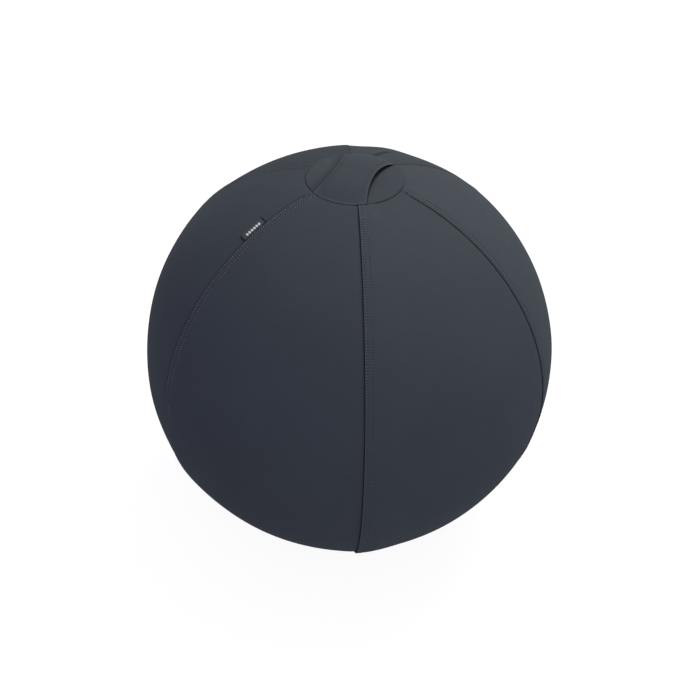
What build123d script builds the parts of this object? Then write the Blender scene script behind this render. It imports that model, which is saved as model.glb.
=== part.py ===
from build123d import *

import math
import os

# Sitting ball in a zipped fabric cover with a carry handle. Millimetres, +Z up.
# The origin is the middle of the floor patch. Azimuths turn from -Y (front) towards +X,
# polar angles run down from the top, and both are in degrees.

# Ball
BALL_DIAMETER = 650.0  # over the cover's panels
PATCH_RADIUS = 55.0  # where the ball lies flat on the floor
BLADDER_WALL = 1.2
SAND_DEPTH = 21.0  # anti-roll sand in the bottom of the bladder
LAYER_GAP = 0.3  # between layers that lie on each other

# Valve of the bladder, beside the zip so that a pump reaches it
VALVE_POLAR = 55.0
VALVE_OFFSET = 14.0  # azimuth past the zip
BOSS_DIAMETER = 28.0
BOSS_DEPTH = 12.0
PLUG_HEAD_DIAMETER = 16.0
PLUG_HEAD_THICKNESS = 2.0
PLUG_STEM_DIAMETER = 8.0
PLUG_TIP_DIAMETER = 6.4
PLUG_LENGTH = 16.0  # from the head's face to the tip
PLUG_CLEARANCE = 0.15

# Cover
FABRIC = 1.2
PANEL_COUNT = 6
ZIP_SEAM_AZIMUTH = 24.5
DISC_RADIUS = 72.0  # top and base discs
DISC_OVERLAP = 9.0  # panel ends that run under a disc
LAP_SLOPE = 6.0  # from the flat of a lap down to the panel
FOLD_CHAMFER = 0.8  # outer edge of a lap's fold

# Carry handle, a wide strap across the top disc, from front to back
HANDLE_END_ANGLE = 70.0  # arc of the disc's seam that holds each end
HANDLE_WAIST = 60.0
HANDLE_THICKNESS = 2.4
FINGER_GAP = 9.0  # over the middle of the disc

# Label, sewn in under the fold of the seam before the zip's
LABEL_POLAR = 30.2
LABEL_LENGTH = 40.0
LABEL_WIDTH = 14.0
LABEL_THICKNESS = 0.6

# Zip under the lap of its seam
ZIP_DROP = 26.6  # its top end, down from the disc's edge
ZIP_BOTTOM = 86.0  # polar angle of its lower end
ZIP_SETBACK = 2.5  # edge of the lower panel, in from the fold
TAPE_WIDTH = 12.0
TAPE_THICKNESS = 0.4
TAPE_TAIL = 12.0  # tape past each end of the zip
TOOTH_PITCH = 2.8
TOOTH_HEIGHT = 1.2
TOOTH_LENGTH = 3.2
TOOTH_OVERLAP = 0.7  # head past the zip's middle line
TOOTH_ROOT = 0.9
TOOTH_HEAD = 1.4
STOP_LENGTH = 2.4
STOP_WIDTH = 2.2

# Slider and pull
SLIDER_LENGTH = 11.0
SLIDER_WIDTH = 9.4
SLIDER_SHOULDER = 4.0
PLATE_THICKNESS = 0.6
FLANGE_THICKNESS = 0.9
DIAMOND_LENGTH = 3.6
DIAMOND_WIDTH = 2.4
RUN_CLEARANCE = 0.3
LUG_LENGTH = 5.0
LUG_WIDTH = 1.6
LUG_BAR = 0.4
PULL_LENGTH = 20.0
PULL_WIDTH = 6.0
PULL_THICKNESS = 0.4
PULL_BAR = 1.0  # bar of the pull that runs under the lug
EYE_WIDTH = 3.0
EYE_LENGTH = 2.8
PULL_CLEARANCE = 0.1

# Layers, as radii about the ball's centre, from the panels inwards
PANEL_OUT = BALL_DIAMETER / 2
PANEL_IN = PANEL_OUT - FABRIC
TAPE_OUT = PANEL_IN - LAYER_GAP
TAPE_IN = TAPE_OUT - TAPE_THICKNESS
LOW_PLATE_IN = TAPE_IN - RUN_CLEARANCE - PLATE_THICKNESS
BLADDER_OUT = LOW_PLATE_IN - RUN_CLEARANCE
BLADDER_IN = BLADDER_OUT - BLADDER_WALL
PLUG_FACE = BLADDER_OUT - LAYER_GAP

# Layers from the tape outwards to the lap that hides the slider, and of what lies on the panels
TOOTH_OUT = TAPE_OUT + TOOTH_HEIGHT
TOP_PLATE_IN = TOOTH_OUT + RUN_CLEARANCE
TOP_PLATE_OUT = TOP_PLATE_IN + PLATE_THICKNESS
LUG_ARCH = PULL_THICKNESS + 2 * PULL_CLEARANCE
LUG_OUT = TOP_PLATE_OUT + LUG_ARCH + LUG_BAR
TUNNEL_OUT = LUG_OUT + RUN_CLEARANCE
ZIP_LAP_OUT = TUNNEL_OUT + FABRIC
DISC_IN = PANEL_OUT + LAYER_GAP
DISC_OUT = DISC_IN + FABRIC
LAP_IN = PANEL_OUT + LAYER_GAP
LAP_OUT = LAP_IN + FABRIC

# Widths across a seam, from its fold towards higher azimuth
ZIP_MIDDLE = ZIP_SETBACK + RUN_CLEARANCE + SLIDER_WIDTH / 2
LAP_INSIDE = ZIP_MIDDLE + SLIDER_WIDTH / 2 + RUN_CLEARANCE
UNDERLAP = LAP_INSIDE - LAYER_GAP
LAP_FLAT = LAP_INSIDE + FABRIC
LAP_END = LAP_FLAT + LAP_SLOPE
ZIP_TILT = math.degrees(math.asin(ZIP_MIDDLE / TAPE_OUT))
CHAIN_HALF_WIDTH = TOOTH_LENGTH - TOOTH_OVERLAP
SLIDER_TAIL_WIDTH = 2 * (CHAIN_HALF_WIDTH + RUN_CLEARANCE + FLANGE_THICKNESS)
TAPE_EDGE = DIAMOND_WIDTH / 2 + RUN_CLEARANCE

# Heights and angles that follow
CENTRE_HEIGHT = math.sqrt(DISC_OUT**2 - PATCH_RADIUS**2)
BLADDER_FLOOR = FABRIC + LAYER_GAP
SEAM_STEP = 360.0 / PANEL_COUNT
REACH = BALL_DIAMETER  # longer than anything that it cuts


def degrees_along(length):
    """Polar angle that a length takes up along the zip."""
    return math.degrees(length / TOOTH_OUT)


ZIP_TOP = math.degrees(math.asin(DISC_RADIUS / PANEL_OUT)) + degrees_along(ZIP_DROP)
STOP_ANGLE = degrees_along(STOP_LENGTH)
SLIDER_ANGLE = degrees_along(SLIDER_LENGTH)
SLIDER_POLAR = ZIP_TOP + STOP_ANGLE + degrees_along(RUN_CLEARANCE) + SLIDER_ANGLE / 2
TUNNEL_END = ZIP_BOTTOM + degrees_along(PULL_LENGTH)


def height_at(radius, distance):
    """Height over the centre of a sphere's point at a distance from the axis."""
    return math.sqrt(radius**2 - distance**2)


def sphere_arc(radius, left, right):
    """Arc about the centre, in X and Z, between two distances from the seam's plane."""
    start = math.degrees(math.acos(right / radius))
    stop = math.degrees(math.acos(left / radius))
    return CenterArc((0, 0), radius, start, stop - start)


def section(*lines):
    """Face in the XZ plane inside a closed chain of lines."""
    return Plane.XZ * make_face(lines)


def band(inner, outer, left, right):
    """Section of a flat layer across a seam, between two radii."""
    low = sphere_arc(inner, left, right)
    high = sphere_arc(outer, left, right)
    return section(low, high, Line(low @ 0, high @ 0), Line(low @ 1, high @ 1))


def along_seam(face, start, stop):
    """Sweep a section from the top down a meridian, between two polar angles."""
    return revolve(Rot(X=start) * face, Axis.X, stop - start)


def at_polar(shape, polar):
    """Carry what is built over the top down the front meridian."""
    return Rot(X=polar) * shape


def at_azimuth(shape, azimuth):
    """Turn what is built on the front meridian about the ball's axis."""
    return Rot(Z=azimuth) * shape


def flattened_ball(radius, floor):
    """Ball about the centre, cut flat at a height over the ground."""
    level = floor - CENTRE_HEIGHT
    patch = math.sqrt(radius**2 - level**2)
    start = math.degrees(math.atan2(level, patch))
    side = CenterArc((0, 0), radius, start, 90 - start)
    flat = Line((0, level), (patch, level))
    return revolve(section(flat, side, Line((0, radius), (0, level))), Axis.Z)


def over_top(shape, inner):
    """Raise what is built on the ground plane to a radius over the top."""
    return Pos(0, 0, inner) * shape


def bar(width, length, inner, outer, across=0.0, along=0.0):
    """Block over the top, between two radii, centred at a place along and across."""
    block = Box(width, length, outer - inner, align=(Align.CENTER, Align.CENTER, Align.MIN))
    return Pos(across, along, inner) * block


def valve_place(shape):
    """Carry what is built over the top to the valve."""
    return at_azimuth(at_polar(shape, VALVE_POLAR), ZIP_SEAM_AZIMUTH + VALVE_OFFSET)


def valve_bore(length, diameter, outer):
    """Cylinder down the valve's axis from a radius inwards."""
    low = Cylinder(diameter / 2, length, align=(Align.CENTER, Align.CENTER, Align.MAX))
    return Pos(0, 0, outer) * low


def bladder():
    """Blown ball with a thickened boss round its valve bore."""
    outside = flattened_ball(BLADDER_OUT, BLADDER_FLOOR)
    inside = flattened_ball(BLADDER_IN, BLADDER_FLOOR + BLADDER_WALL)
    boss = valve_place(valve_bore(BOSS_DEPTH + BLADDER_WALL, BOSS_DIAMETER, BLADDER_OUT + BLADDER_WALL))
    head_room = PLUG_HEAD_DIAMETER + 2 * PLUG_CLEARANCE
    recess = valve_bore(PLUG_HEAD_THICKNESS + BLADDER_WALL, head_room, PLUG_FACE + BLADDER_WALL)
    bore = valve_bore(PLUG_LENGTH + BOSS_DEPTH, PLUG_STEM_DIAMETER + 2 * PLUG_CLEARANCE, PLUG_FACE)
    wall = outside - inside + (boss & outside)
    return wall - valve_place(recess) - valve_place(bore)


def valve_plug():
    """Flush head on a tapered stem."""
    head = valve_bore(PLUG_HEAD_THICKNESS - PLUG_CLEARANCE, PLUG_HEAD_DIAMETER, PLUG_FACE)
    stem = Cone(
        PLUG_TIP_DIAMETER / 2,
        PLUG_STEM_DIAMETER / 2,
        PLUG_LENGTH,
        align=(Align.CENTER, Align.CENTER, Align.MAX),
    )
    return valve_place(head + Pos(0, 0, PLUG_FACE) * stem)


def ballast_sand():
    """Sand lying level in the bottom of the bladder."""
    floor = BLADDER_FLOOR + BLADDER_WALL + LAYER_GAP
    fill = flattened_ball(BLADDER_IN - LAYER_GAP, floor)
    level = floor + SAND_DEPTH - CENTRE_HEIGHT
    above = Box(2 * REACH, 2 * REACH, REACH, align=(Align.CENTER, Align.CENTER, Align.MIN))
    return fill - Pos(0, 0, level) * above


def gore(azimuth):
    """Skin of one panel, from beside its own lap to under the next one."""
    end = DISC_RADIUS - DISC_OVERLAP
    skin = []
    for radius in (PANEL_IN, PANEL_OUT):
        tilt = math.degrees(math.acos(end / radius))
        skin.append(CenterArc((0, 0), radius, -tilt, 2 * tilt))
    inner, outer = skin
    profile = section(inner, outer, Line(inner @ 0, outer @ 0), Line(inner @ 1, outer @ 1))
    spare = math.degrees(math.asin(LAP_END / end))
    wedge = revolve(profile, Axis.Z, SEAM_STEP + 2 * spare)
    wedge = at_azimuth(wedge, azimuth - spare - 90)
    before = Box(REACH, 2 * REACH, 2 * REACH, align=(Align.MAX, Align.CENTER, Align.CENTER))
    after = Box(REACH, 2 * REACH, 2 * REACH, align=(Align.MIN, Align.CENTER, Align.CENTER))
    wedge -= at_azimuth(Pos(LAP_INSIDE + LAYER_GAP, 0, 0) * before, azimuth)
    return wedge - at_azimuth(Pos(UNDERLAP, 0, 0) * after, azimuth + SEAM_STEP)


def lap_section(outer):
    """Folded edge that rides over the neighbour's allowance, then slopes into the panel."""
    under = sphere_arc(LAP_IN, 0, LAP_INSIDE)
    top = sphere_arc(outer, FOLD_CHAMFER, LAP_FLAT)
    foot = sphere_arc((PANEL_IN + PANEL_OUT) / 2, LAP_INSIDE, LAP_END)
    shoulder = (0, (top @ 1).Y - FOLD_CHAMFER)
    return section(
        Line(under @ 1, shoulder),
        Line(shoulder, top @ 1),
        top,
        Line(top @ 0, foot @ 0),
        foot,
        Line(foot @ 1, under @ 0),
        under,
    )


def lap(outer):
    """Lap on the front meridian, from the top disc's edge to the base disc's."""
    start = math.degrees(math.asin((DISC_RADIUS - DISC_OVERLAP) / PANEL_OUT))
    strip = along_seam(lap_section(outer), start, 180 - start)
    return strip - Cylinder(DISC_RADIUS + LAYER_GAP, 2 * REACH)


def zip_tunnel():
    """Room under the zip's lap for the slider and its pull."""
    room = band(PANEL_IN, TUNNEL_OUT, -FABRIC, LAP_INSIDE)
    return along_seam(room, 0, TUNNEL_END)


def zip_gap():
    """Slot between the lower panel's edge and the lap's panel, where the teeth lie."""
    room = band(PANEL_IN - FABRIC, ZIP_LAP_OUT, ZIP_SETBACK, LAP_INSIDE)
    tail = degrees_along(TAPE_TAIL)
    return along_seam(room, ZIP_TOP - tail / 2, ZIP_BOTTOM + tail / 2)


def cover_panel(number):
    """Panel with its lap. The first one's lap hides the zip, and the last one ends at it."""
    azimuth = ZIP_SEAM_AZIMUTH + number * SEAM_STEP
    edge = lap(ZIP_LAP_OUT) - zip_tunnel() if number == 0 else lap(LAP_OUT)
    panel = gore(azimuth) + at_azimuth(edge, azimuth)
    if number == PANEL_COUNT - 1:
        panel -= at_azimuth(zip_gap(), ZIP_SEAM_AZIMUTH)
    return panel


def top_disc():
    """Domed disc that closes the cover at the top."""
    low = sphere_arc(DISC_IN, 0, DISC_RADIUS)
    high = sphere_arc(DISC_OUT, 0, DISC_RADIUS)
    return revolve(section(low, high, Line(low @ 0, high @ 0), Line(low @ 1, high @ 1)), Axis.Z)


def base_disc():
    """Disc under the ball, flat where it lies on the floor."""
    rings = []
    for radius, floor in ((DISC_IN, FABRIC), (DISC_OUT, 0)):
        level = floor - CENTRE_HEIGHT
        patch = math.sqrt(radius**2 - level**2)
        start = -math.degrees(math.acos(DISC_RADIUS / radius))
        stop = math.degrees(math.atan2(level, patch))
        rings.append((CenterArc((0, 0), radius, start, stop - start), Line((0, level), (patch, level))))
    (low, low_flat), (high, high_flat) = rings
    rim = Line(low @ 0, high @ 0)
    middle = Line(low_flat @ 0, high_flat @ 0)
    return revolve(section(low, low_flat, middle, high_flat, high, rim), Axis.Z)


def carry_handle():
    """Waisted strap, arched over the disc, with both ends on the disc's seam."""
    seat = height_at(DISC_OUT + LAYER_GAP, DISC_RADIUS)
    crown = DISC_OUT + FINGER_GAP
    rise = crown - seat
    dome = (DISC_RADIUS**2 + rise**2) / (2 * rise)
    arch = Rot(X=90) * (Sphere(dome + HANDLE_THICKNESS) - Sphere(dome))
    half = math.radians(HANDLE_END_ANGLE / 2)
    side, end = DISC_RADIUS * math.sin(half), DISC_RADIUS * math.cos(half)
    waist = HANDLE_WAIST / 2
    outline = make_face(
        [
            ThreePointArc((side, -end), (waist, 0), (side, end)),
            ThreePointArc((side, end), (0, DISC_RADIUS), (-side, end)),
            ThreePointArc((-side, end), (-waist, 0), (-side, -end)),
            ThreePointArc((-side, -end), (0, -DISC_RADIUS), (side, -end)),
        ]
    )
    column = extrude(outline, rise + HANDLE_THICKNESS + FINGER_GAP)
    return Pos(0, 0, crown - dome) * arch & Pos(0, 0, seat - FINGER_GAP) * column


def side_label():
    """Flat tag beside the fold, on the panel before it."""
    inner = DISC_IN
    middle = -LAYER_GAP - LABEL_WIDTH / 2
    tag = bar(LABEL_WIDTH, LABEL_LENGTH, inner, inner + LABEL_THICKNESS, across=middle)
    return at_azimuth(at_polar(tag, LABEL_POLAR), ZIP_SEAM_AZIMUTH - SEAM_STEP)


def on_zip(shape):
    """Turn a zip piece from the front meridian to the zip's seam."""
    return at_azimuth(shape, ZIP_SEAM_AZIMUTH)


def on_chain(shape, polar):
    """Carry what is built over the top to the zip's middle line, square to the ball there."""
    return on_zip(at_polar(Rot(Y=ZIP_TILT) * shape, polar))


def zip_tape(side):
    """Woven tape from the teeth to the panel that it is sewn to; side is -1 or 1."""
    edges = sorted((ZIP_MIDDLE + side * TAPE_EDGE, ZIP_MIDDLE + side * TAPE_WIDTH))
    tail = degrees_along(TAPE_TAIL)
    return on_zip(along_seam(band(TAPE_IN, TAPE_OUT, *edges), ZIP_TOP - tail, ZIP_BOTTOM + tail))


def tooth():
    """Dovetail tooth of the right-hand row over the top, its head past the middle line."""
    outline = Polyline(
        (CHAIN_HALF_WIDTH, TOOTH_ROOT / 2),
        (-TOOTH_OVERLAP, TOOTH_HEAD / 2),
        (-TOOTH_OVERLAP, -TOOTH_HEAD / 2),
        (CHAIN_HALF_WIDTH, -TOOTH_ROOT / 2),
        close=True,
    )
    return over_top(extrude(make_face(outline), TOOTH_HEIGHT), TAPE_OUT)


def zip_teeth(side):
    """Row of teeth from the slider's diamond to the bottom stop; side is -1 or 1."""
    pitch = degrees_along(TOOTH_PITCH)
    first = SLIDER_POLAR + pitch
    count = int((ZIP_BOTTOM - STOP_ANGLE - first) / pitch)
    shape = tooth() if side > 0 else Rot(Z=180) * tooth()
    shift = pitch / 2 if side > 0 else 0.0
    return Compound([on_chain(shape, first + shift + k * pitch) for k in range(count)])


def zip_top_stops():
    """Two clips, one on each tape, that end the slider's travel at the top."""
    clips = []
    for side in (-1, 1):
        place = side * (TAPE_EDGE + STOP_WIDTH / 2)
        clip = bar(STOP_WIDTH, STOP_LENGTH, TAPE_OUT, TOOTH_OUT, across=place)
        clips.append(on_chain(clip, ZIP_TOP + STOP_ANGLE / 2))
    return Compound(clips)


def zip_bottom_stop():
    """Clip over both tapes that ends the slider's travel at the bottom."""
    clip = bar(2 * CHAIN_HALF_WIDTH, STOP_LENGTH, TAPE_OUT, TOOTH_OUT)
    return on_chain(clip, ZIP_BOTTOM - STOP_ANGLE / 2)


def slider_outline():
    """Plan of a plate: broad shoulders at the top, narrowing to the tail."""
    head, tail, half = SLIDER_WIDTH / 2, SLIDER_TAIL_WIDTH / 2, SLIDER_LENGTH / 2
    corners = ((-head, half), (head, half), (head, half - SLIDER_SHOULDER), (tail, -half))
    left = ((-tail, -half), (-head, half - SLIDER_SHOULDER))
    return make_face(Polyline(*corners, *left, close=True))


def slider_flange(side):
    """Rail under the top plate that keeps one row of teeth in."""
    head, tail, half = SLIDER_WIDTH / 2, SLIDER_TAIL_WIDTH / 2, SLIDER_LENGTH / 2
    top = half - SLIDER_SHOULDER
    corners = ((head, top), (head - FLANGE_THICKNESS, top), (tail - FLANGE_THICKNESS, -half), (tail, -half))
    outline = Polyline(*[(side * x, y) for x, y in corners], close=True)
    return extrude(make_face(outline), TOP_PLATE_IN - TAPE_OUT - RUN_CLEARANCE)


def zip_slider():
    """Two plates joined by the diamond, two rails and the lug that holds the pull."""
    plate = extrude(slider_outline(), PLATE_THICKNESS)
    body = over_top(plate, LOW_PLATE_IN) + over_top(plate, TOP_PLATE_IN)
    for side in (-1, 1):
        body += over_top(slider_flange(side), TAPE_OUT + RUN_CLEARANCE)
    middle = SLIDER_LENGTH / 2 - DIAMOND_LENGTH / 2
    body += bar(DIAMOND_WIDTH, DIAMOND_LENGTH, LOW_PLATE_IN, TOP_PLATE_OUT, along=middle)
    lug = bar(LUG_WIDTH, LUG_LENGTH, TOP_PLATE_IN, LUG_OUT)
    arch_length = LUG_LENGTH - 2 * LUG_BAR
    lug -= bar(LUG_WIDTH, arch_length, TOP_PLATE_OUT, TOP_PLATE_OUT + LUG_ARCH)
    return on_chain(body + lug, SLIDER_POLAR)


def zip_pull():
    """Curved tab whose eye is threaded under the slider's lug."""
    inner = TOP_PLATE_OUT + PULL_CLEARANCE
    outer = inner + PULL_THICKNESS
    start = SLIDER_POLAR - degrees_along(PULL_BAR / 2)
    tab = band(inner, outer, ZIP_MIDDLE - PULL_WIDTH / 2, ZIP_MIDDLE + PULL_WIDTH / 2)
    tab = along_seam(tab, start, start + degrees_along(PULL_LENGTH))
    eye_start = start + degrees_along(PULL_BAR)
    eye = band(inner - FABRIC, outer + FABRIC, ZIP_MIDDLE - EYE_WIDTH / 2, ZIP_MIDDLE + EYE_WIDTH / 2)
    eye = along_seam(eye, eye_start, eye_start + degrees_along(EYE_LENGTH))
    return on_zip(tab - eye)


def write(name, shape):
    """Stand the piece on the ground and write it."""
    export_step(Pos(0, 0, CENTRE_HEIGHT) * shape, f"parts/{name}.step")


os.makedirs("parts", exist_ok=True)
write("bladder", bladder())
write("valve_plug", valve_plug())
write("ballast_sand", ballast_sand())
for number in range(PANEL_COUNT):
    write(f"cover_panel_{number + 1}", cover_panel(number))
write("top_disc", top_disc())
write("base_disc", base_disc())
write("carry_handle", carry_handle())
write("side_label", side_label())
for side_name, side in (("left", -1), ("right", 1)):
    write(f"zip_tape_{side_name}", zip_tape(side))
    write(f"zip_teeth_{side_name}", zip_teeth(side))
write("zip_top_stops", zip_top_stops())
write("zip_bottom_stop", zip_bottom_stop())
write("zip_slider", zip_slider())
write("zip_pull", zip_pull())
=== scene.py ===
import math

import bpy
import numpy as np
from mathutils import Matrix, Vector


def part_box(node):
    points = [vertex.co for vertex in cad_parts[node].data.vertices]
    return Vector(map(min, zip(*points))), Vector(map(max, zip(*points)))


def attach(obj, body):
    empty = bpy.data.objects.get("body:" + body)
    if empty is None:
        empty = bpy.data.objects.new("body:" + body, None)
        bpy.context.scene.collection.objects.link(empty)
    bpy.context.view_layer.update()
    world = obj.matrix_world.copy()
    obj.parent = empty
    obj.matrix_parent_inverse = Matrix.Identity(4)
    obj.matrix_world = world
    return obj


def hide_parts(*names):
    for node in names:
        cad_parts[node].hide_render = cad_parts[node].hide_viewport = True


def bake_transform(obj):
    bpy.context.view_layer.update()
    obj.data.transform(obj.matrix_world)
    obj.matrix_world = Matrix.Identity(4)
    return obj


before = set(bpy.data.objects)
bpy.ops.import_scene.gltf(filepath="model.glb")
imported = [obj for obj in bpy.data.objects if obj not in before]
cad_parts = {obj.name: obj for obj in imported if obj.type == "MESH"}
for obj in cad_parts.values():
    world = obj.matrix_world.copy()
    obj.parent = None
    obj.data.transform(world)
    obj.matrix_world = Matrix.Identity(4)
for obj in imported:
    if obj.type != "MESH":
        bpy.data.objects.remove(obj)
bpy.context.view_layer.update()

# Sitting ball in a zipped fabric cover. Metres, +Z up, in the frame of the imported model.
# Azimuths turn from -Y (front) towards +X, and polar angles run down from the top.
MM = 0.001
SEED = 11

# Ball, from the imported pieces
bladder_low, bladder_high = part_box("bladder")
disc_low, disc_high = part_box("top_disc")
SKIN = 3.1 * MM  # from the bladder to the outside of the cover
BLADDER = (bladder_high.x - bladder_low.x) / 2
BALL = BLADDER + SKIN
CENTRE = np.array([0.0, 0.0, bladder_high.z - BLADDER])
DISC = (disc_high.x - disc_low.x) / 2
DISC_POLAR = math.asin(DISC / BALL)

# Cover panels
PANELS = 6
SEAM_STEP = 2 * math.pi / PANELS
ZIP_SEAM = math.radians(24.5)
LABEL_SEAM = 5  # the seam before the zip's
CLOTH = 0.5 * MM
PANEL_END = 7 * MM  # of a panel under a disc
PANEL_TONES = (0.03, 0.08, -0.05, -0.12, -0.02, 0.0)  # by panel, with the nap of its cloth
CORNER = 1.8 * MM  # of the stiff seams, out of a true ball
CORNER_FADE = 1.5  # power of its fall to the poles
DITCH = 0.45 * MM  # depth of the seam round a disc
DITCH_FILL = 0.8  # share that the strap's ends fill
DITCH_FILL_STEP = 0.05  # over which they start to
DITCH_REACH = 1.6 * MM
RIPPLE = 0.16 * MM  # puckers along a sewn seam
RIPPLE_REACH = 16 * MM
RIPPLE_LENGTHS = np.array([9.5, 14.0, 31.0]) * MM
PANEL_ROWS = 380
PANEL_STEPS = 31  # between its edges' columns

# Lap of a panel over its neighbour, across the seam from the fold
LAP_HEIGHTS = np.array([2.6, 0.9, 0.45, 0.6, 0.8, 1.0]) * MM  # by seam, the zip's first
HEM = 9 * MM  # turned under the fold
ZIP_HEM = 2.4 * MM
HEM_COLUMNS = 4
FOLD = 0.8 * MM  # half width of the fold's rounding
FOLD_OPEN = 0.22  # height of its underside, as a share of the lap
FOLD_TOP = 0.6  # and height from which its top is lighter
FOLD_COLUMNS = 11
LAP_LEVEL = 3 * MM  # where a lap starts to fall
ZIP_LAP_LEVEL = 12.6 * MM
LAP_REACH = 30 * MM  # where it has sloped into its panel, beside a disc
LAP_REACH_WIDE = 78 * MM  # and away from the discs
LAP_REACH_STEP = 80 * MM
LAP_COLUMNS = 25
SLOPE_COLUMNS = 19
ROW_NEAR = 2.6 * MM  # topstitch rows
ROW_FAR = 10.5 * MM
ROW_DIP = 0.3 * MM
ROW_WIDTH = 0.7 * MM
ROW_CLEAR = 1.5 * MM  # from a disc's rim to a row's end
ROW_AWAY = 1.0  # takes a point out of the rows' reach
BAND_PUFF = 0.15 * MM
LAP_THIN = 0.38  # share of its height left under a disc's rim
LAP_THIN_REACH = 26 * MM
UNDERLAP = 9 * MM  # of the neighbour under the lap
ZIP_UNDERLAP = 2.2 * MM
SEAM_DIP = 0.45 * MM  # of the neighbour beside the fold
SEAM_DIP_REACH = 5 * MM
UNDER_SINK = 0.7 * MM  # of the neighbour under the lap
UNDER_SINK_REACH = 2 * MM
UNDER_COLUMNS = 4
HEM_CLEAR = 0.05 * MM  # between the two layers of a fold
PAINTED_SHADE_REACHES = np.array([1.5, 1.3, 1.3, 1.3, 1.5, 3.0]) * MM  # of the painted shade beside a fold, by seam
DIP_AND_SHADE_FROM = 0.4 * MM  # lap that makes no dip and no painted shade
DIP_AND_SHADE_FULL = 1.0 * MM  # lap that makes the full dip and a fully dark painted shade
PAINTED_FOLD_SHADE = 0.6
PAINTED_SHADE_BEAD = 0.3  # share of the painted shade that comes and goes with the stitches
EDGE_REACH = 22 * MM  # of a panel's plain edge beside the fold
EDGE_COLUMNS = 22
EDGE_CROWD = 1.6  # power that draws them to the fold

# Crease in the back panel, from the strap's sewn end
CREASE_AZIMUTH = math.radians(178.0)
CREASE_LEAN = -0.45  # turn with each step down
CREASE_RISE = 1.7 * MM
CREASE_WIDE = 3.4 * MM
CREASE_GROOVE = 0.6  # depth of its groove, as a share
CREASE_LONG = 38 * MM
CREASE_FADE = 20 * MM
CREASE_LINE = 1.8 * MM  # half width of its line of painted shade
CREASE_PAINTED_SHADE = 2.0  # against the lightening of a fold

# Broad swells of the filled cover: polar angle, azimuth and reach in degrees, height in millimetres
SWELLS = [
    (64, 265, 20, 2.7),
    (69, 287, 11, 0.7),
    (95, 309, 9, 0.8),
    (105, 302, 20, 1.5),
    (129, 331, 16, 1.1),
    (132, 61, 25, -1.1),
    (105, 96, 14, -1.0),
    (98, 88, 7, -2.2),
    (81, 103, 8, 0.8),
    (41, 145, 4, -1.2),
    (29.5, 182, 4.5, 1.5),
    (28.7, 200, 4, -1.1),
]

# Bulge of the zip's slider and pull in its lap
SLIDER_POLAR = math.radians(20.4)
SLIDER_ACROSS = 7.2 * MM
SLIDER_LONG = 13 * MM
SLIDER_WIDE = 5 * MM
SLIDER_RISE = 0.9 * MM

# Discs
DISC_RISE = 0.5 * MM
DISC_ROUND = 1.4 * MM  # width of the rounded rim
DISC_TUCK = 0.6 * MM  # rim under the panels' own skin
DISC_RINGS = 26
RIM_RINGS = 8
DISC_SPOKES = 360
LIFT_CLEAR = 0.1 * MM  # over a lap that runs under the rim
LIFT_ACROSS = 6.3 * MM  # middle of such a lap, from its fold
LIFT_WIDE = 8.4 * MM
LIFT_FROM = 0.8  # share of the radius where it starts
PUFF_PLACE = np.array([-47, 2]) * MM  # pillow of the top disc beside the strap
PUFF_REACH = np.array([16, 42]) * MM
PUFF_RISE = 2.2 * MM
PUFF_PAINTED_LIGHT = 0.16  # painted light: how much lighter the pillow is made
RIM_REACH = 1.1 * MM  # of the painted shade round the rim
RIM_SHADE = 0.75
RIM_BACK = 26 * MM  # where it has faded
VALLEY_REACH = 13 * MM  # of the painted shade between the pillow and the strap
VALLEY_SHADE = 0.36
GAP_REACH = 1.3 * MM  # and of the painted shade under the strap's other edge
GAP_SHADE = 1.0

# Carry strap
STRAP_END = math.radians(33.5)  # half the arc of the disc's seam that holds an end
STRAP_WAIST = 30 * MM  # half width at its middle
STRAP_THICK = 2 * MM
STRAP_THIN = 0.35 * MM  # where an end is sewn in
STRAP_SINK = 0.45 * MM  # of a sewn end into the disc
STRAP_TAPER = 0.4  # share of the half length that thins out
STRAP_BEAD = 0.32 * MM  # along its front end
STRAP_BEAD_WIDE = 1.0 * MM
STRAP_BEAD_HIGHLIGHT = 1.8  # painted highlight along its front end, against that of an edge
STRAP_GAP = 7.5 * MM  # under its middle
STRAP_CURLS = np.array([3.2, 0.3]) * MM  # of its left and right edge, downwards
STRAP_HEM = 6.5 * MM  # from an edge to its stitch row
STRAP_HEM_WIDE = 1.1 * MM
STRAP_HEM_DIPS = np.array([0.12, 0.4]) * MM  # left and right
STRAP_EDGE = 0.05  # share of the half width that is rounded
STRAP_EDGE_HIGHLIGHT = 0.06  # and that has a painted highlight
STRAP_LEVEL = 61  # columns of its top, and of its underside
STRAP_TURN = 7  # columns of a rounded edge
STRAP_ROWS = 90  # of a half
STRAP_STITCHES = 17  # of a hem, on a half

# Label
LABEL_POLAR = math.radians(30.2)
LABEL_LONG = 40 * MM
LABEL_WIDE = 14 * MM
LABEL_THICK = 0.8 * MM
LABEL_NEAR = 0.3 * MM  # from the fold to its near edge
LABEL_SIT = 0.35 * MM  # over the panel at its sewn edge
LABEL_LIFT = 1.7 * MM  # at its free edge, times the next two
LABEL_LIFT_MIDDLE = 0.6
LABEL_LIFT_ENDS = 1.6  # more towards its ends
LABEL_ROWS = 41
LABEL_COLUMNS = 15
LABEL_TURN = 7  # columns of the rounded edge
LABEL_FACE = 0.4  # layer above which a point is on its face

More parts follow.
